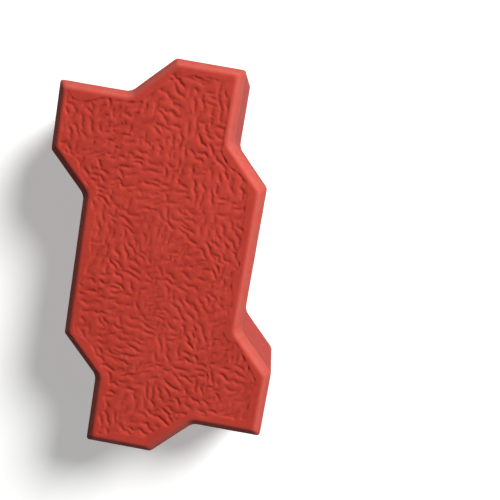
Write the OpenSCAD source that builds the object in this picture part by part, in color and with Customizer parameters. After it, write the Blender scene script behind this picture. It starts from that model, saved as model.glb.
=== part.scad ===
// Interlocking concrete paving stone, cast in one piece.
// X runs across the stone, Y along it and Z up, from the middle of the bed face.

/* [Laying module] */
// Distance from one stone to the next, along the stone
module_length = 225; // [180:0.5:280]
// Distance from one stone to the next, across the stone
module_width = 112.5; // [90:0.5:140]
// Width of the joint left open between neighbouring stones
joint_width = 2.5; // [0:0.5:6]

/* [Zig-zag sides] */
// How far each crest stands out beyond the trough beside it
wave_depth = 18; // [8:0.5:26]
// Length of the steep flank from a trough to its crest, along the side
flank_length = 27.7; // [18:0.1:40]
// Radius at the bottom of a trough
trough_radius = 10; // [2:0.5:14]
// Radius at the tip of a crest
crest_radius = 3; // [0.5:0.5:8]
// Radius at the four square corners
corner_radius = 1.5; // [0.5:0.5:8]

/* [Section] */
// Height from the bed face to the walking face
thickness = 60; // [40:1:120]
// Width of the bevel round the walking face, seen from above
bevel_width = 4.5; // [1:0.5:10]
// Height of the bevel, from the top of the wall to the walking face
bevel_height = 4.5; // [1:0.5:10]
// Radius that rounds the bevel into the walking face
edge_radius = 3.5; // [0.5:0.5:8]

/* [Hidden] */

// Zig-zags on each long side and on each short side
long_side_waves = 2;
short_side_waves = 1;

// Flat facets in the arc at each corner of the outline, and in the rounding above the bevel
arc_facets = 4;
edge_facets = 3;

// Grid that the outline's points sit on, so that the body and its cutter meet exactly
grid = 1 / 1024;

// How far the cutter reaches out past the wall and up past the walking face
cut_over = 1;

concrete_red = [0.70, 0.25, 0.20];

// Trough and crest of each zig-zag, as distances along a side and out from it
function zigzag(length, waves) =
    let (pitch = length / waves)
    [for (wave = [0 : waves - 1])
        for (turn = [-1, 1])
            [(wave + 0.5) * pitch + turn * flank_length / 2, turn * wave_depth / 2]];

// One side of the outline: its first corner, then its troughs and crests
function side(corner, along, out, length, waves) =
    concat([corner], [for (point = zigzag(length, waves)) corner + point.x * along + point.y * out]);

// Radius of each point of a side: a square corner, then troughs, centred outside, and crests
function side_radii(waves) =
    concat([corner_radius], [for (wave = [1 : waves]) each [-trough_radius, crest_radius]]);

function unit(vector) = vector / norm(vector);

// Inward direction, square to an edge of an outline that runs clockwise
function inward(start, end) =
    let (along = unit(end - start))
    [along.y, -along.x];

// The inward directions of the two edges that meet at a corner
function inward_before(outline, i) = inward(outline[(i + len(outline) - 1) % len(outline)], outline[i]);
function inward_after(outline, i) = inward(outline[i], outline[(i + 1) % len(outline)]);

// A corner moved inwards by a distance, along its mitre
function mitred(corner, before, after, distance) =
    corner + distance * (before + after) / (1 + before * after);

// The outline moved inwards by a distance, with mitred corners
function inset(outline, distance) =
    [for (i = [0 : len(outline) - 1])
        mitred(outline[i], inward_before(outline, i), inward_after(outline, i), distance)];

// The points of an arc that touches both edges of a corner
function arc(corner, before, after, radius) =
    let (centre = mitred(corner, before, after, radius))
    [for (step = [0 : arc_facets])
        centre - radius * unit(before + (after - before) * step / arc_facets)];

// The outline with an arc at each corner
function rounded(outline, radii) =
    [for (i = [0 : len(outline) - 1])
        each arc(outline[i], inward_before(outline, i), inward_after(outline, i), radii[i])];

// The back and right sides of the laying module. The other two are the same, turned half round.
half_outline = concat(
    side([-module_width, module_length] / 2, [1, 0], [0, 1], module_width, short_side_waves),
    side([module_width, module_length] / 2, [0, -1], [1, 0], module_length, long_side_waves));
module_outline = concat(half_outline, [for (point = half_outline) -point]);
half_radii = concat(side_radii(short_side_waves), side_radii(long_side_waves));
module_radii = concat(half_radii, half_radii);

// The stone's outline at a distance in from its wall, which stands half a joint inside the module
function stone_outline(distance) =
    [for (point = rounded(inset(module_outline, joint_width / 2 + distance), module_radii))
        [round(point.x / grid), round(point.y / grid)] * grid];

// The bevel's slope, and how far the rounding above it reaches along the bevel and the face
wall_height = thickness - bevel_height;
bevel_angle = atan2(bevel_height, bevel_width);
edge_reach = edge_radius * tan(bevel_angle / 2);
face_inset = bevel_width + edge_reach;

// Section of the edge, as distances in from the wall and heights: up the bevel, then round on to the face
edge_section = concat(
    [[0, wall_height]],
    [for (step = [0 : edge_facets])
        let (slope = bevel_angle * (1 - step / edge_facets))
        [face_inset - edge_radius * sin(slope), thickness - edge_radius * (1 - cos(slope))]]);

// Section of the cutter: the edge itself, closed above the face and outside the wall
cutter_top = thickness + cut_over;
cutter_section = concat(
    [[-cut_over, wall_height]],
    edge_section,
    [[face_inset, cutter_top], [-cut_over, cutter_top]]);

// Ring that cuts the bevel and its rounding, swept along the outline
module edge_cutter() {
    rings = [for (point = cutter_section)
        [for (corner = stone_outline(point.x)) [corner.x, corner.y, point.y]]];
    rows = len(rings);
    columns = len(rings[0]);
    function index(row, column) = (row % rows) * columns + column % columns;
    polyhedron(
        points = [for (ring = rings) each ring],
        faces = [for (row = [0 : rows - 1])
            for (column = [0 : columns - 1])
                [index(row, column), index(row + 1, column), index(row + 1, column + 1), index(row, column + 1)]]);
}

module paving_stone() {
    color(concrete_red)
    difference() {
        linear_extrude(thickness) polygon(stone_outline(0));
        edge_cutter();
    }
}

paving_stone();
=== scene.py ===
import math

import bmesh
import bpy
import numpy as np
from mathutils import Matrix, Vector, noise
from mathutils.geometry import delaunay_2d_cdt


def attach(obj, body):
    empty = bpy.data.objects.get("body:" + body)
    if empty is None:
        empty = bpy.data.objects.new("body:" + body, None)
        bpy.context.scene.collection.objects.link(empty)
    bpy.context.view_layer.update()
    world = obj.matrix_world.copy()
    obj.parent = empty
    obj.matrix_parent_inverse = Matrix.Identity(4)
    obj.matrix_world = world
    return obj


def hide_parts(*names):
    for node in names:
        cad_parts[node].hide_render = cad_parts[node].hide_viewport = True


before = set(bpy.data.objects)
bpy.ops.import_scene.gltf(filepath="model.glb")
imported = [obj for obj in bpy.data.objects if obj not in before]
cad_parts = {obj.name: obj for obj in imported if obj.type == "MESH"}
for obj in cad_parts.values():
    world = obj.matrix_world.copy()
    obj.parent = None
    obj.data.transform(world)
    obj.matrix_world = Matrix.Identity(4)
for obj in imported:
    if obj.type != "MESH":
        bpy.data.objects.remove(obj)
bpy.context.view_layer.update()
mm = 0.001
print("frame loaded:", sorted(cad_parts))


# Camera, found by lining up the stone's corners with the photograph

camera = {
    "place": (70.4, 50.3, 413.1),    # mm, in the stone's own frame
    "turn": (-7.08, 2.52, -1.87),    # degrees about X, Y and Z
    "lens": 43.16,
    "sensor": 36.0,
    "clipStart": 10.0,               # mm
}


def makeCamera():
    data = bpy.data.cameras.new("camera")
    data.lens = camera["lens"]
    data.sensor_width = camera["sensor"]
    data.clip_start = camera["clipStart"] * mm
    eye = bpy.data.objects.new("camera", data)
    eye.location = Vector(camera["place"]) * mm
    eye.rotation_euler = [math.radians(angle) for angle in camera["turn"]]
    bpy.context.scene.collection.objects.link(eye)
    bpy.context.scene.camera = eye


makeCamera()
print("camera set")


# Small helpers for node trees

def setSocket(tree, socket, value):
    if isinstance(value, bpy.types.NodeSocket):
        tree.links.new(value, socket)
    else:
        socket.default_value = value


def addNode(tree, kind, values=None, **settings):
    node = tree.nodes.new(kind)
    for name, value in settings.items():
        setattr(node, name, value)
    for name, value in (values or {}).items():
        setSocket(tree, node.inputs[name], value)
    return node


def maths(tree, operation, *terms):
    return addNode(tree, "ShaderNodeMath", dict(enumerate(terms)), operation=operation).outputs[0]


def vectorMaths(tree, operation, *terms):
    return addNode(tree, "ShaderNodeVectorMath", dict(enumerate(terms)), operation=operation).outputs[0]


def ramp(tree, value, spanIn, spanOut=(0.0, 1.0), smooth=True):
    sockets = {"Value": value, "From Min": spanIn[0], "From Max": spanIn[1],
               "To Min": spanOut[0], "To Max": spanOut[1]}
    kind = "SMOOTHSTEP" if smooth else "LINEAR"
    return addNode(tree, "ShaderNodeMapRange", sockets, interpolation_type=kind).outputs["Result"]


def cloud(tree, place, scale, detail=2.0, rough=0.5, output="Fac"):
    sockets = {"Vector": place, "Scale": scale, "Detail": detail, "Roughness": rough}
    return addNode(tree, "ShaderNodeTexNoise", sockets).outputs[output]


# Red concrete, coloured right through

concrete = {
    "red": (0.48, 0.046, 0.030),
    "darkRed": (0.40, 0.034, 0.021),
    # a darker red for the hollows: painted shade in the pinholes, and in the grooves partly their own darker
    # red, partly painted shade
    "hollowShadeRed": (0.31, 0.022, 0.013),
    "paleBevel": (0.41, 0.078, 0.058),      # a paler, greyer red mixed over the bevel
    "wallShadeRed": (0.28, 0.028, 0.019),    # painted shade: a darker red over the sides
    "bedRed": (0.36, 0.070, 0.050),     # sandy and greyer underneath
    "patchSize": 26 * mm,
    "patchSpan": (0.35, 0.65),          # noise values between which a patch comes in
    "patchShade": (0.0, 0.45),          # least and most of the dark red in it
    "mottleSize": 5 * mm,
    "mottleSpan": (0.35, 0.7),
    "mottleShade": (0.0, 0.4),
    "grooveShade": 0.25,
    "paleBevelSpan": (0.3, 0.65),
    "paleBevelCover": (0.45, 0.95),         # least and most of the paler red on the bevel
    "arrisShade": 0.18,                 # darkening from the bevel's top to its arris
    "wallShadeSpan": (0.3, 0.7),
    "wallShadeCover": (0.6, 1.0),
    "bedCover": 0.7,
    "grainSize": 0.55 * mm,
    "grainSpan": (0.3, 0.7),
    "grainTone": (0.88, 1.1),           # darkest and lightest grain
    "grainRoughness": (0.72, 0.92),
    "grainDepth": 0.06 * mm,
    "poreGap": 5.5 * mm,                # pinholes, on the sides and the bed alone
    "poreSpan": (0.45, 1.0),            # lots drawn from the smallest pinhole to the largest
    "poreRadius": (0.02, 0.26),         # as shares of the gap
    "poreCore": 0.6,                    # share of the radius at full depth
    "poreShade": 0.6,
    "poreDepth": 0.5 * mm,
    "specular": 0.15,
}


def mixColour(tree, factor, first, second, blend="MIX"):
    first, second = ((*colour, 1.0) if isinstance(colour, tuple) else colour for colour in (first, second))
    sockets = {0: factor, 6: first, 7: second}    # by number, as other types share the names
    return addNode(tree, "ShaderNodeMix", sockets, data_type="RGBA", blend_type=blend).outputs[2]


def redConcrete():
    material = bpy.data.materials.new("redConcrete")
    material.use_nodes = True
    tree = material.node_tree
    tree.nodes.clear()
    place = addNode(tree, "ShaderNodeTexCoord").outputs["Object"]
    groove, bevel, arris, wall, bed = (
        addNode(tree, "ShaderNodeAttribute", attribute_name=name).outputs["Fac"]
        for name in ("groove", "onBevel", "arris", "onWall", "onBed"))
    patches = cloud(tree, place, 1 / concrete["patchSize"], detail=3.0)
    mottle = cloud(tree, place, 1 / concrete["mottleSize"], detail=4.0, rough=0.6)
    grain = cloud(tree, place, 1 / concrete["grainSize"], detail=3.0, rough=0.65)

    # reds of the face, the bevel, the sides and the bed
    shade = maths(tree, "ADD",
                  ramp(tree, patches, concrete["patchSpan"], concrete["patchShade"]),
                  ramp(tree, mottle, concrete["mottleSpan"], concrete["mottleShade"]))
    colour = mixColour(tree, shade, concrete["red"], concrete["darkRed"])
    # painted shade in the grooves, partly their own darker red, by the groove mark
    cut = maths(tree, "MULTIPLY", groove, concrete["grooveShade"])
    colour = mixColour(tree, cut, colour, concrete["hollowShadeRed"])
    paled = maths(tree, "MULTIPLY", bevel, ramp(tree, mottle, concrete["paleBevelSpan"], concrete["paleBevelCover"]))
    colour = mixColour(tree, paled, colour, concrete["paleBevel"])
    # painted shade: the sides take a darker red, mottled
    shadedWall = maths(tree, "MULTIPLY", wall, ramp(tree, mottle, concrete["wallShadeSpan"], concrete["wallShadeCover"]))
    colour = mixColour(tree, shadedWall, colour, concrete["wallShadeRed"])
    sandy = maths(tree, "MULTIPLY", bed, concrete["bedCover"])
    colour = mixColour(tree, sandy, colour, concrete["bedRed"])

    # light and dark grains, and a darker arris
    tone = ramp(tree, grain, concrete["grainSpan"], concrete["grainTone"], smooth=False)
    fall = ramp(tree, arris, (0.0, 1.0), (1.0, 1 - concrete["arrisShade"]), smooth=False)
    tone = maths(tree, "MULTIPLY", tone, fall)
    grey = addNode(tree, "ShaderNodeCombineColor", {0: tone, 1: tone, 2: tone}).outputs[0]
    colour = mixColour(tree, 1.0, colour, grey, "MULTIPLY")

    # pinholes
    cells = addNode(tree, "ShaderNodeTexVoronoi", {"Vector": place, "Scale": 1 / concrete["poreGap"]})
    lot = addNode(tree, "ShaderNodeSeparateColor", {0: cells.outputs["Color"]}).outputs[0]
    radius = ramp(tree, lot, concrete["poreSpan"], concrete["poreRadius"], smooth=False)
    core = maths(tree, "MULTIPLY", radius, concrete["poreCore"])
    pore = ramp(tree, cells.outputs["Distance"], (core, radius), (1.0, 0.0))
    pore = maths(tree, "MULTIPLY", pore, maths(tree, "MAXIMUM", wall, bed))
    # painted shade: the pinholes take the hollows' darker red
    hole = maths(tree, "MULTIPLY", pore, concrete["poreShade"])
    colour = mixColour(tree, hole, colour, concrete["hollowShadeRed"])

    height = maths(tree, "SUBTRACT",
                   maths(tree, "MULTIPLY", grain, concrete["grainDepth"]),
                   maths(tree, "MULTIPLY", pore, concrete["poreDepth"]))
    bump = addNode(tree, "ShaderNodeBump", {"Strength": 1.0, "Distance": 1.0, "Height": height})
    rough = ramp(tree, grain, concrete["grainSpan"], concrete["grainRoughness"], smooth=False)
    shader = addNode(tree, "ShaderNodeBsdfPrincipled", {
        "Base Color": colour, "Roughness": rough, "Specular IOR Level": concrete["specular"],
        "Normal": bump.outputs["Normal"]})
    output = addNode(tree, "ShaderNodeOutputMaterial", {"Surface": shader.outputs["BSDF"]})
    output.is_active_output = True
    return material


material = redConcrete()
print("material made:", material.name)


# The stone: one dense skin over the CAD section, with smooth arcs and softened edges

stone = {
    "node": "paving_stone",
    "slot": "red_concrete",
    "weld": 0.001 * mm,         # CAD points this close are one
    "flatAngle": 1.0,           # degrees, under which CAD facets are joined
    "leastFall": 0.01 * mm,     # from a CAD point to the one below it
    "faceStep": 0.62 * mm,      # mesh spacing on the walking face
    "bedStep": 4.0 * mm,
    "jitter": 0.2,              # scatter of the mesh points, as a share of their spacing
    "edgeClear": 0.55,          # how far they keep from the edge, as a share too
    "softRounds": 2,            # smoothing passes along the outline
    "arrisLap": 0.8 * mm,       # reach of the lower rounding up the bevel and down the wall
    "roundingRows": 6,
    "bevelRows": 3,
    "arrisRows": 4,
    "wallRows": 13,
    "wallCrowding": 1.4,        # above 1, the wall's rows crowd towards its top
    "wallSkips": (2, 4),        # columns to a mesh point in the wall's first row, and below
    "footLap": 0.9 * mm,        # rounding at the foot of the wall
    "footRows": 3,
    "waver": 0.14 * mm,         # unevenness of the cast sides, inwards only
    "waverSize": 9.0 * mm,
    "waverGain": 0.6,
    "bevelWaver": 0.7,          # share of it on the bevel
    "bedHollow": 0.35 * mm,
    "bedRim": 8.0 * mm,         # strip along the edge in which the hollow begins
    "bedScale": 90.0,           # swells to the metre
    "bedGain": 0.5,
    "bedSlice": 3.7,            # level at which the bed's noise is read
    "seed": 11,
}


def readSection(node):
    # columns of CAD points, each from the edge of the walking face down to the foot of the wall
    work = bmesh.new()
    work.from_mesh(node.data)
    bmesh.ops.remove_doubles(work, verts=work.verts, dist=stone["weld"])
    flat = math.radians(stone["flatAngle"])
    bmesh.ops.dissolve_limit(work, angle_limit=flat, verts=work.verts, edges=work.edges)
    face = max(work.faces, key=lambda f: f.calc_center_median().z)
    columns = []
    for point in face.verts:
        column = []
        while point:
            column.append(point.co.copy())
            below = [edge.other_vert(point) for edge in point.link_edges]
            below = [other for other in below if other.co.z < point.co.z - stone["leastFall"]]
            point = min(below, key=lambda other: (other.co - point.co).length, default=None)
        columns.append(column)
    work.free()
    return columns


def denseRings(columns, step):
    # the outlines at the face's edge and at the wall, with matching points
    face, wall = [], []
    for this, following in zip(columns, columns[1:] + columns[:1]):
        parts = max(1, round((following[-2] - this[-2]).length / step))
        for k in range(parts):
            face.append(this[0].lerp(following[0], k / parts).xy)
            wall.append(this[-2].lerp(following[-2], k / parts).xy)
    return np.array(face), np.array(wall)


def softened(ring, rounds):
    for _ in range(rounds):
        ring = 0.25 * np.roll(ring, 1, 0) + 0.5 * ring + 0.25 * np.roll(ring, -1, 0)
    return ring


def bend(start, corner, end, steps):
    # points of a quadratic curve that rounds a corner of the section
    share = np.linspace(0, 1, steps + 1)[:, None]
    start, corner, end = (np.array(point) for point in (start, corner, end))
    return (1 - share) ** 2 * start + 2 * share * (1 - share) * corner + share ** 2 * end


def sideSection(column):
    # from the face's edge down to the bed, as (distance in from the wall, height)
    wall, foot = column[-2], column[-1]
    outline = [((point - wall).xy.length, point.z) for point in column[:-1]]
    faceEdge, bevelTop, shoulder = outline[0], outline[-2], outline[-1]
    slope = (bevelTop[1] - shoulder[1]) / bevelTop[0]
    corner = (faceEdge[1] - shoulder[1]) / slope
    lap, footLap = stone["arrisLap"], stone["footLap"]

    # rounding above the bevel, the bevel and the rounding below it
    upper = bend(faceEdge, (corner, faceEdge[1]), bevelTop, stone["roundingRows"])
    bevelFoot = (lap / math.hypot(1, slope), shoulder[1] + lap * slope / math.hypot(1, slope))
    middle = np.linspace(bevelTop, bevelFoot, stone["bevelRows"] + 2)[1:-1]
    lower = bend(bevelFoot, shoulder, (0, shoulder[1] - lap), stone["arrisRows"])
    edgeRows = np.concatenate([upper, middle, lower])

    # wall, and the rounding at its foot
    wallTop, wallFoot = lower[-1][1], foot.z + footLap
    falls = np.linspace(0, 1, stone["wallRows"] + 1)[1:-1] ** stone["wallCrowding"]
    straight = [(0, wallTop + fall * (wallFoot - wallTop)) for fall in falls]
    rounding = bend((0, wallFoot), (0, foot.z), (footLap, foot.z), stone["footRows"])
    return edgeRows, np.concatenate([straight, rounding]), faceEdge[0], bevelTop[0]


def edgeDistance(points, ring):
    # distance from each point to the ring, and whether it lies inside
    nearest = np.full(len(points), np.inf)
    inside = np.zeros(len(points), bool)
    for a, b in zip(ring, np.roll(ring, -1, 0)):
        along = b - a
        share = np.clip(((points - a) @ along) / (along @ along), 0, 1)
        nearest = np.minimum(nearest, np.linalg.norm(points - a - share[:, None] * along, axis=1))
        crosses = (a[1] > points[:, 1]) != (b[1] > points[:, 1])
        if along[1]:
            inside ^= crosses & (points[:, 0] < along[0] * (points[:, 1] - a[1]) / along[1] + a[0])
    return nearest, inside


def lattice(outline, step, rng):
    # triangular lattice inside an outline, jittered so that no rows show
    low, high = outline.min(0), outline.max(0)
    points = []
    for row, y in enumerate(np.arange(low[1], high[1], step * math.sqrt(3) / 2)):
        x = np.arange(low[0] + (row % 2) * step / 2, high[0], step)
        points.append(np.column_stack([x, np.full(len(x), y)]))
    points = np.concatenate(points)
    points += rng.uniform(-stone["jitter"], stone["jitter"], points.shape) * step
    distance, inside = edgeDistance(points, outline)
    keep = inside & (distance > stone["edgeClear"] * step)
    return points[keep], distance[keep]


def unevenness(spots, gain):
    # from 0 to 1 at each spot, by noise that swells about once in each unit
    fineness, spacing, octaves = 1.0, 2.0, 3
    swell = [noise.fractal(spot, fineness, spacing, octaves) for spot in spots]
    return np.clip(0.5 + gain * np.array(swell), 0, 1)


def sides(corners):
    return {frozenset(pair) for pair in zip(corners, corners[1:] + corners[:1])}


class Skin:
    def __init__(self):
        self.points = []
        self.faces = []
        self.marks = {"onFace": [], "onBevel": [], "arris": [], "onWall": [], "onBed": [], "inside": []}

    def addPoints(self, points, height, **marks):
        first = len(self.points)
        heights = np.broadcast_to(height, len(points))
        self.points += [(x, y, z) for (x, y), z in zip(points, heights)]
        for name, values in self.marks.items():
            values += list(np.broadcast_to(marks.get(name, 0.0), len(points)))
        return list(range(first, first + len(points)))

    def stitch(self, upper, lower):
        # strip between two rings, each a list of (column, point); the lower one may skip columns
        size = upper[-1][0] + 1
        up = upper + [(size, upper[0][1])]
        low = lower + [(size, lower[0][1])]
        a = b = 0
        while a < len(up) - 1 or b < len(low) - 1:
            nextUp = up[a + 1][0] if a < len(up) - 1 else math.inf
            nextLow = low[b + 1][0] if b < len(low) - 1 else math.inf
            if nextUp == nextLow:
                self.faces.append((up[a][1], low[b][1], low[b + 1][1], up[a + 1][1]))
                a, b = a + 1, b + 1
            elif nextUp < nextLow:
                self.faces.append((up[a][1], low[b][1], up[a + 1][1]))
                a += 1
            else:
                self.faces.append((up[a][1], low[b][1], low[b + 1][1]))
                b += 1

    def cap(self, ringIds, ring, inner, innerIds, upward):
        # triangles over the ring and the points inside it: those reached without crossing the ring
        spots = [Vector(point) for point in (*ring, *inner)]
        edges = [(k, (k + 1) % len(ring)) for k in range(len(ring))]
        wholeHull, nearness, keepOrigins = 0, 1e-9, True
        faces, origins = delaunay_2d_cdt(spots, edges, [], wholeHull, nearness, keepOrigins)[2:4]
        triangles = [[origins[k][0] for k in face] for face in faces]
        kept = [corners for corners in triangles if max(corners) >= len(ring)]
        spare = [corners for corners in triangles if max(corners) < len(ring)]
        border = {frozenset(edge) for edge in edges}
        found = kept
        reached = set()
        while found:
            reached = reached.union(*(sides(corners) for corners in found)) - border
            found = [corners for corners in spare if sides(corners) & reached]
            spare = [corners for corners in spare if not sides(corners) & reached]
            kept = kept + found
        ids = np.array(ringIds + innerIds)[np.array(kept)]
        self.faces += (ids if upward else ids[:, ::-1]).tolist()


def buildSkin(columns):
    rng = np.random.default_rng(stone["seed"])
    face, wall = (softened(ring, stone["softRounds"]) for ring in denseRings(columns, stone["faceStep"]))
    edgeRows, wallRows, faceInset, bevelInset = sideSection(columns[0])
    mitre = (face - wall) / faceInset
    inwards = mitre / np.linalg.norm(mitre, axis=1)[:, None]
    skin = Skin()

    def sideRing(inset, height, picked, uneven, **marks):
        spots = wall[picked] + inset * mitre[picked]
        swells = [Vector((x, y, height)) / stone["waverSize"] for x, y in spots]
        push = stone["waver"] * unevenness(swells, stone["waverGain"]) * uneven
        ids = skin.addPoints(spots + push[:, None] * inwards[picked], height, **marks)
        return list(zip(picked, ids))

    # rounding, bevel and lower arris
    every = np.arange(len(wall))
    rings = []
    for k, (inset, height) in enumerate(edgeRows):
        onBevel = np.clip((faceInset - inset) / (faceInset - bevelInset), 0, 1)
        arris = np.clip(1 - inset / bevelInset, 0, 1)
        rings.append(sideRing(inset, height, every, stone["bevelWaver"] * onBevel, onFace=float(k == 0),
                              onBevel=onBevel, arris=arris, onWall=float(inset == 0)))

    # wall and foot, with fewer columns
    firstSkip, skip = stone["wallSkips"]
    for k, (inset, height) in enumerate(wallRows):
        picked = every[::firstSkip if k == 0 else skip]
        rings.append(sideRing(inset, height, picked, 1.0, arris=1.0, onWall=1.0))
    for upper, lower in zip(rings, rings[1:]):
        skin.stitch(upper, lower)

    # walking face
    faceIds = [point for _, point in rings[0]]
    spots, depths = lattice(face, stone["faceStep"], rng)
    inner = skin.addPoints(spots, edgeRows[0][1], onFace=1.0, inside=depths)
    skin.cap(faceIds, face, spots, inner, True)

    # bed face
    bedIds = [point for _, point in rings[-1]]
    bedEdge = np.array([skin.points[point][:2] for point in bedIds])
    spots, depths = lattice(bedEdge, stone["bedStep"], rng)
    swells = [(x * stone["bedScale"], y * stone["bedScale"], stone["bedSlice"]) for x, y in spots]
    rim = np.clip(depths / stone["bedRim"], 0, 1)
    inner = skin.addPoints(spots, stone["bedHollow"] * rim * unevenness(swells, stone["bedGain"]), onBed=1.0)
    skin.cap(bedIds, bedEdge, spots, inner, False)
    return skin


def makeStone(skin, material):
    mesh = bpy.data.meshes.new("stone")
    mesh.from_pydata(skin.points, [], skin.faces)
    for name, values in skin.marks.items():
        mesh.attributes.new(name, "FLOAT", "POINT").data.foreach_set("value", np.array(values, np.float32))
    mesh.polygons.foreach_set("use_smooth", [True] * len(mesh.polygons))
    mesh.materials.append(material)
    mesh.update()
    piece = bpy.data.objects.new("stone", mesh)
    bpy.context.scene.collection.objects.link(piece)
    return piece


skin = buildSkin(readSection(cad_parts[stone["node"]]))
print("skin:", len(skin.points), "points,", sum(len(face) - 2 for face in skin.faces), "triangles")
piece = makeStone(skin, material)


# Grooves cast into the walking face: patches of short, wavy, roughly parallel dashes.
# Each value here is an input of the node tree; scales are in swells to the metre.

grooves = {
    "Patch": 14.0 * mm,         # least distance between the middles of two patches
    "Density": 250000.0,        # points to the square metre that the middles are picked from
    "Flow": 3 * math.pi,        # radians, range of the lean that neighbouring patches share
    "Flow Scale": 20.0,
    "Aligned": 0.65,            # share of patches with that lean; the others lie square to it
    "Scatter": 0.4,             # radians, how far a patch may lean off
    "Reach": 2.4,               # span of a patch's rows, before they are trimmed, in patches
    "Row Gap": 4.4 * mm,        # between the grooves of a patch, side by side
    "Column Gap": 9.0 * mm,     # and end to end
    "Row Shift": 0.2,           # scatter of the grooves, as shares of these gaps
    "Column Shift": 0.5,
    "Shortest": 7.0 * mm,
    "Longest": 13.0 * mm,
    "Steps": 14,                # straight steps in a groove's line
    "Clear": 2.8 * mm,          # bare spots wider than this get a short groove of their own
    "Filler": 0.6,              # least length of such a groove, as a share of the shortest
    "Skew": 0.25,               # radians, how far a groove may turn off its patch
    "Bend": 0.14,               # sideways bow, as a share of the length
    "Wave": 0.5 * mm,           # sideways swing of the ripples that all grooves of a patch share
    "Wave Length": 9.0 * mm,
    "Drift": 2.0,               # how far the ripples drift over the face, in wave lengths
    "Drift Scale": 60.0,
    "Wander": 4.5 * mm,         # how far a groove strays from its course
    "Wander Scale": 210.0,
    "Half Width": 1.5 * mm,
    "Depth": 0.55 * mm,
    "Faintest": 0.5,            # depth of the faintest groove, as a share
    "Worn": 0.62,               # and what is left of it where the face is worn
    "Worn Scale": 22.0,
    "Tip": 0.4,                 # width and depth at a groove's ends, as a share
    "Bluntness": 3.0,           # a higher value carries the full width nearer to the ends
    "Pillow": 0.22 * mm,        # gentle fall of the face towards each groove
    "Pillow Width": 2.8 * mm,
    "Margin": 4.0 * mm,         # widest plain strip inside the bevel
    "Margin Scale": 60.0,
    "Margin Fade": 1.0 * mm,
    "Waver": 0.2 * mm,          # unevenness of the face between the grooves
    "Waver Scale": 280.0,
    "Seed": 7,
}


def grooveInputs():
    tree = bpy.data.node_groups.new("castGrooves", "GeometryNodeTree")
    tree.interface.new_socket("Geometry", in_out="INPUT", socket_type="NodeSocketGeometry")
    for name, value in grooves.items():
        kind = "NodeSocketInt" if isinstance(value, int) else "NodeSocketFloat"
        tree.interface.new_socket(name, in_out="INPUT", socket_type=kind)
    tree.interface.new_socket("Material", in_out="INPUT", socket_type="NodeSocketMaterial")
    tree.interface.new_socket("Geometry", in_out="OUTPUT", socket_type="NodeSocketGeometry")
    return tree, tree.nodes.new("NodeGroupInput").outputs


def position(tree):
    return addNode(tree, "GeometryNodeInputPosition").outputs[0]


def named(tree, name):
    return addNode(tree, "GeometryNodeInputNamedAttribute", {"Name": name}, data_type="FLOAT").outputs[0]


def store(tree, geometry, name, value):
    sockets = {"Geometry": geometry, "Name": name, "Value": value}
    node = addNode(tree, "GeometryNodeStoreNamedAttribute", sockets, data_type="FLOAT", domain="POINT")
    return node.outputs[0]


def seeded(tree, given, salt):
    return maths(tree, "ADD", given["Seed"], float(salt))


def chance(tree, given, low, high, salt):
    node = addNode(tree, "FunctionNodeRandomValue", {"Seed": seeded(tree, given, salt)}, data_type="FLOAT")
    least, most = [socket for socket in node.inputs if socket.enabled][:2]
    setSocket(tree, least, low)
    setSocket(tree, most, high)
    return next(socket for socket in node.outputs if socket.enabled)


def eitherWay(tree, given, most, salt):
    return chance(tree, given, maths(tree, "MULTIPLY", most, -1.0), most, salt)


def combined(tree, x, y, z):
    return addNode(tree, "ShaderNodeCombineXYZ", {"X": x, "Y": y, "Z": z}).outputs[0]


def scaled(tree, vector, factor):
    sockets = {0: vector, "Scale": factor}
    return addNode(tree, "ShaderNodeVectorMath", sockets, operation="SCALE").outputs[0]


def moved(tree, geometry, offset):
    return addNode(tree, "GeometryNodeSetPosition", {"Geometry": geometry, "Offset": offset}).outputs[0]


def without(tree, geometry, picked):
    sockets = {"Geometry": geometry, "Selection": picked}
    return addNode(tree, "GeometryNodeDeleteGeometry", sockets, domain="POINT").outputs[0]


def realized(tree, geometry):
    return addNode(tree, "GeometryNodeRealizeInstances", {"Geometry": geometry}).outputs[0]


def instances(tree, points, shape, angle, size=(1, 1, 1)):
    turn = addNode(tree, "FunctionNodeAxisAngleToRotation", {"Axis": (0, 0, 1), "Angle": angle}).outputs[0]
    sockets = {"Points": points, "Instance": shape, "Rotation": turn, "Scale": size}
    return realized(tree, addNode(tree, "GeometryNodeInstanceOnPoints", sockets).outputs[0])


def asMesh(tree, lines):
    return addNode(tree, "GeometryNodeCurveToMesh", {"Curve": lines}).outputs[0]


def directions(tree):
    # along and across the heading of a patch or a groove
    heading = named(tree, "heading")
    along = combined(tree, maths(tree, "COSINE", heading), maths(tree, "SINE", heading), 0.0)
    return along, vectorMaths(tree, "CROSS_PRODUCT", along, (0, 0, 1))


def spread(tree, given, apart, salt):
    # over the top of the stone's box, so that the pattern doesn't depend on the skin's triangles
    box = addNode(tree, "GeometryNodeBoundBox", {"Geometry": given["Geometry"]}).outputs["Bounding Box"]
    normal = addNode(tree, "GeometryNodeInputNormal").outputs[0]
    upwards = addNode(tree, "ShaderNodeSeparateXYZ", {0: normal}).outputs["Z"]
    sockets = {"Mesh": box, "Selection": maths(tree, "GREATER_THAN", upwards, 0.5), "Distance Min": apart,
               "Density Max": given["Density"], "Seed": seeded(tree, given, salt)}
    node = addNode(tree, "GeometryNodeDistributePointsOnFaces", sockets, distribute_method="POISSON")
    return node.outputs["Points"]


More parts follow.
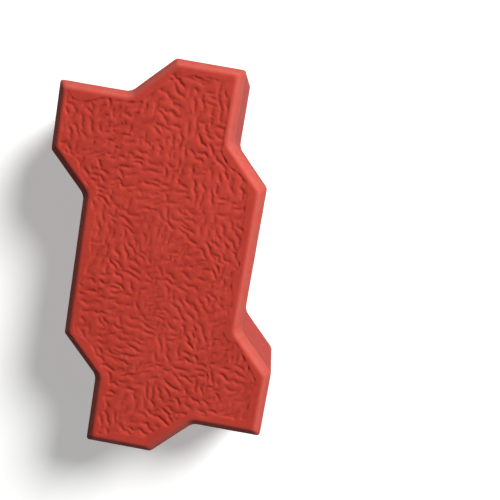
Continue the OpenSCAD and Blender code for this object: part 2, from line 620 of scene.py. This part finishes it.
def facePatches(tree, given):
    # most lean with their neighbours, some lie square to them
    patches = spread(tree, given, given["Patch"], salt=0)
    patches = store(tree, patches, "patch", addNode(tree, "GeometryNodeInputIndex").outputs[0])
    flow = cloud(tree, position(tree), given["Flow Scale"], detail=0.0)
    isSquare = maths(tree, "GREATER_THAN", chance(tree, given, 0.0, 1.0, salt=1), given["Aligned"])
    lean = maths(tree, "ADD", maths(tree, "MULTIPLY", flow, given["Flow"]),
                 maths(tree, "MULTIPLY", isSquare, math.pi / 2))
    lean = maths(tree, "ADD", lean, eitherWay(tree, given, given["Scatter"], salt=8))
    return store(tree, patches, "heading", lean)


def inOwnPatch(tree, patches, geometry):
    # drops the points that lie nearer to the middle of another patch
    nearest = addNode(tree, "GeometryNodeSampleNearest", {"Geometry": patches}, domain="POINT").outputs[0]
    apart = maths(tree, "ABSOLUTE", maths(tree, "SUBTRACT", nearest, named(tree, "patch")))
    return without(tree, geometry, maths(tree, "GREATER_THAN", apart, 0.5))


def grooveMiddles(tree, given, patches):
    # in scattered rows across each patch
    reach = maths(tree, "MULTIPLY", given["Patch"], given["Reach"])
    rows = maths(tree, "ADD", maths(tree, "DIVIDE", reach, given["Row Gap"]), 1.0)
    columns = maths(tree, "ADD", maths(tree, "DIVIDE", reach, given["Column Gap"]), 1.0)
    grid = addNode(tree, "GeometryNodeMeshGrid", {
        "Size X": reach, "Size Y": reach, "Vertices X": columns, "Vertices Y": rows}).outputs["Mesh"]
    grids = instances(tree, patches, grid, named(tree, "heading"))
    middles = addNode(tree, "GeometryNodeMeshToPoints", {"Mesh": grids}).outputs[0]
    along, across = directions(tree)
    endways = eitherWay(tree, given, given["Column Shift"], salt=2)
    sideways = eitherWay(tree, given, given["Row Shift"], salt=3)
    shift = vectorMaths(tree, "ADD",
                        scaled(tree, along, maths(tree, "MULTIPLY", given["Column Gap"], endways)),
                        scaled(tree, across, maths(tree, "MULTIPLY", given["Row Gap"], sideways)))
    middles = inOwnPatch(tree, patches, moved(tree, middles, shift))
    return store(tree, middles, "force", chance(tree, given, given["Faintest"], 1.0, salt=4))


def wavyLines(tree, given, points, length, salt):
    # a bow on the unit length, turned and stretched at each point
    bowLine = addNode(tree, "GeometryNodeCurveQuadraticBezier", {
        "Resolution": given["Steps"], "Start": (-0.5, 0, 0), "Middle": (0, 1, 0), "End": (0.5, 0, 0)})
    bow = maths(tree, "MULTIPLY", length, given["Bend"])
    bow = maths(tree, "MULTIPLY", bow, eitherWay(tree, given, 1.0, salt))
    angle = maths(tree, "ADD", named(tree, "heading"), eitherWay(tree, given, given["Skew"], salt + 1))
    lines = instances(tree, points, bowLine.outputs[0], angle, combined(tree, length, bow, 1.0))

    # ripples across its heading, then a wandering path
    place = position(tree)
    along, across = directions(tree)
    run = addNode(tree, "ShaderNodeVectorMath", {0: place, 1: along}, operation="DOT_PRODUCT")
    drift = maths(tree, "MULTIPLY", cloud(tree, place, given["Drift Scale"], detail=0.0), given["Drift"])
    turns = maths(tree, "DIVIDE", run.outputs["Value"], given["Wave Length"])
    turns = maths(tree, "ADD", turns, drift)
    ripple = maths(tree, "SINE", maths(tree, "MULTIPLY", turns, 2 * math.pi))
    wave = scaled(tree, across, maths(tree, "MULTIPLY", ripple, given["Wave"]))
    stray = cloud(tree, place, given["Wander Scale"], detail=1.0, output="Color")
    stray = vectorMaths(tree, "SUBTRACT", stray, (0.5, 0.5, 0.5))
    stray = scaled(tree, vectorMaths(tree, "MULTIPLY", stray, (1, 1, 0)), given["Wander"])
    return moved(tree, lines, vectorMaths(tree, "ADD", wave, stray))


def groovePaths(tree, given):
    patches = facePatches(tree, given)
    length = chance(tree, given, given["Shortest"], given["Longest"], salt=5)
    lines = wavyLines(tree, given, grooveMiddles(tree, given, patches), length, salt=6)
    lines = inOwnPatch(tree, patches, lines)

    # short grooves in the bare spots that are left where patches meet
    drawn = addNode(tree, "GeometryNodeProximity", {0: asMesh(tree, lines)}, target_element="EDGES")
    isNear = maths(tree, "LESS_THAN", drawn.outputs["Distance"], given["Clear"])
    spots = without(tree, spread(tree, given, given["Clear"], salt=10), isNear)
    spots = store(tree, spots, "force", chance(tree, given, given["Faintest"], 1.0, salt=11))
    spots = store(tree, spots, "heading", chance(tree, given, 0.0, math.pi, salt=12))
    length = maths(tree, "MULTIPLY", given["Shortest"], chance(tree, given, given["Filler"], 1.0, salt=13))
    fillers = wavyLines(tree, given, spots, length, salt=14)
    both = tree.nodes.new("GeometryNodeJoinGeometry")
    tree.links.new(lines, both.inputs[0])
    tree.links.new(fillers, both.inputs[0])

    # 1 in the middle of each line, falling to 0 at its ends
    share = addNode(tree, "GeometryNodeSplineParameter").outputs["Factor"]
    fromMiddle = maths(tree, "ABSOLUTE", maths(tree, "MULTIPLY_ADD", share, 2.0, -1.0))
    taper = maths(tree, "SUBTRACT", 1.0, maths(tree, "POWER", fromMiddle, given["Bluntness"]))
    return asMesh(tree, store(tree, both.outputs[0], "taper", taper))


def grooveTree():
    tree, given = grooveInputs()
    paths = groovePaths(tree, given)
    place = position(tree)
    onFace = named(tree, "onFace")

    # depth at each point of the face, by its distance from the nearest line
    near = addNode(tree, "GeometryNodeProximity", {0: paths}, target_element="EDGES")
    distance = near.outputs["Distance"]
    nearest = addNode(tree, "GeometryNodeSampleNearest", {
        "Geometry": paths, "Sample Position": near.outputs["Position"]}, domain="POINT").outputs[0]

    def fromLine(name):
        sockets = {"Geometry": paths, "Value": named(tree, name), "Index": nearest}
        return addNode(tree, "GeometryNodeSampleIndex", sockets, data_type="FLOAT", domain="POINT").outputs[0]

    slim = ramp(tree, fromLine("taper"), (0.0, 1.0), (given["Tip"], 1.0), smooth=False)
    width = maths(tree, "MULTIPLY", given["Half Width"], slim)
    force = maths(tree, "MULTIPLY", fromLine("force"), slim)
    cut = maths(tree, "MULTIPLY", ramp(tree, distance, (0.0, width), (1.0, 0.0)), force)

    # plain along the bevel, and shallower where the face is worn
    marginSpan, wornSpan = (0.36, 0.62), (0.36, 0.56)    # noise values from least to most
    strip = ramp(tree, cloud(tree, place, given["Margin Scale"], detail=1.0), marginSpan)
    beyond = maths(tree, "SUBTRACT", named(tree, "inside"), maths(tree, "MULTIPLY", given["Margin"], strip))
    fade = ramp(tree, beyond, (0.0, given["Margin Fade"]))
    worn = ramp(tree, cloud(tree, place, given["Worn Scale"], detail=1.0), wornSpan, (given["Worn"], 1.0))
    cut = maths(tree, "MULTIPLY", maths(tree, "MULTIPLY", cut, fade), worn)

    # the whole drop: the grooves, the fall towards them and the unevenness between
    pillow = maths(tree, "MULTIPLY", ramp(tree, distance, (0.0, given["Pillow Width"]), (1.0, 0.0)), fade)
    waver = maths(tree, "MULTIPLY", cloud(tree, place, given["Waver Scale"]), fade)
    drop = 0.0
    for part, size in ((cut, "Depth"), (pillow, "Pillow"), (waver, "Waver")):
        drop = maths(tree, "MULTIPLY_ADD", part, given[size], drop)
    drop = maths(tree, "MULTIPLY", drop, onFace)
    whole = store(tree, given["Geometry"], "groove", maths(tree, "MULTIPLY", cut, onFace))
    whole = moved(tree, whole, combined(tree, 0.0, 0.0, maths(tree, "MULTIPLY", drop, -1.0)))
    sockets = {"Geometry": realized(tree, whole), "Material": given["Material"]}
    whole = addNode(tree, "GeometryNodeSetMaterial", sockets).outputs[0]
    addNode(tree, "NodeGroupOutput", {"Geometry": whole})
    return tree


def castGrooves(piece, material):
    tree = grooveTree()
    modifier = piece.modifiers.new("castGrooves", "NODES")
    modifier.node_group = tree
    for item in tree.interface.items_tree:
        if item.in_out == "INPUT" and item.name in grooves:
            modifier[item.identifier] = grooves[item.name]
        elif item.in_out == "INPUT" and item.name == "Material":
            modifier[item.identifier] = material
    evaluated = piece.evaluated_get(bpy.context.evaluated_depsgraph_get())
    plain = bpy.data.meshes.new_from_object(evaluated)
    piece.modifiers.clear()
    piece.data = plain
    plain.name = "stone"


castGrooves(piece, material)
print("grooves cast")
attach(piece, "root")
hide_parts(stone["node"])


# Pale floor and soft studio light

studio = {
    "floorHalf": 1.5,           # metres, half the floor's side
    "floorColour": (0.86, 0.86, 0.855),
    "floorGlow": 0.45,          # lightens the shadow on the floor
    "floorRoughness": 0.9,
    "floorSpecular": 0.1,
    "keyAzimuth": 38.0,         # degrees from +X towards +Y
    "keyHeight": 34.0,          # degrees above the floor
    "keyDistance": 2.5,         # metres
    "keySize": 1.0,
    "keyPower": 115.0,          # watts
    "fill": 0.035,              # brightness of the light from all round
    "backdrop": 0.85,           # brightness of what shows beyond the floor
}


def makeFloor():
    half = studio["floorHalf"]
    corners = [(-half, -half, 0), (half, -half, 0), (half, half, 0), (-half, half, 0)]
    mesh = bpy.data.meshes.new("floor")
    mesh.from_pydata(corners, [], [(0, 1, 2, 3)])
    floor = bpy.data.objects.new("floor", mesh)
    bpy.context.scene.collection.objects.link(floor)
    paint = bpy.data.materials.new("paleFloor")
    paint.use_nodes = True
    shader = paint.node_tree.nodes["Principled BSDF"].inputs
    shader["Base Color"].default_value = (*studio["floorColour"], 1.0)
    shader["Emission Color"].default_value = (*studio["floorColour"], 1.0)
    shader["Emission Strength"].default_value = studio["floorGlow"]
    shader["Roughness"].default_value = studio["floorRoughness"]
    shader["Specular IOR Level"].default_value = studio["floorSpecular"]
    mesh.materials.append(paint)


def makeKeyLight():
    lamp = bpy.data.lights.new("keyLight", "AREA")
    lamp.shape = "DISK"
    lamp.size = studio["keySize"]
    lamp.energy = studio["keyPower"]
    key = bpy.data.objects.new("keyLight", lamp)
    azimuth, height = math.radians(studio["keyAzimuth"]), math.radians(studio["keyHeight"])
    level = math.cos(height)
    towards = Vector((level * math.cos(azimuth), level * math.sin(azimuth), math.sin(height)))
    key.location = studio["keyDistance"] * towards
    key.rotation_euler = towards.to_track_quat("Z", "Y").to_euler()
    bpy.context.scene.collection.objects.link(key)


def makeWorld():
    world = bpy.data.worlds.new("studio")
    world.use_nodes = True
    tree = world.node_tree
    background = tree.nodes["Background"].inputs
    background["Color"].default_value = (1.0, 1.0, 1.0, 1.0)
    seen = addNode(tree, "ShaderNodeLightPath").outputs["Is Camera Ray"]
    glow = ramp(tree, seen, (0.0, 1.0), (studio["fill"], studio["backdrop"]), smooth=False)
    tree.links.new(glow, background["Strength"])
    bpy.context.scene.world = world
    bpy.context.scene.view_settings.view_transform = "Standard"   # colours as painted, with no film curve


makeFloor()
makeKeyLight()
makeWorld()
print("studio lit")
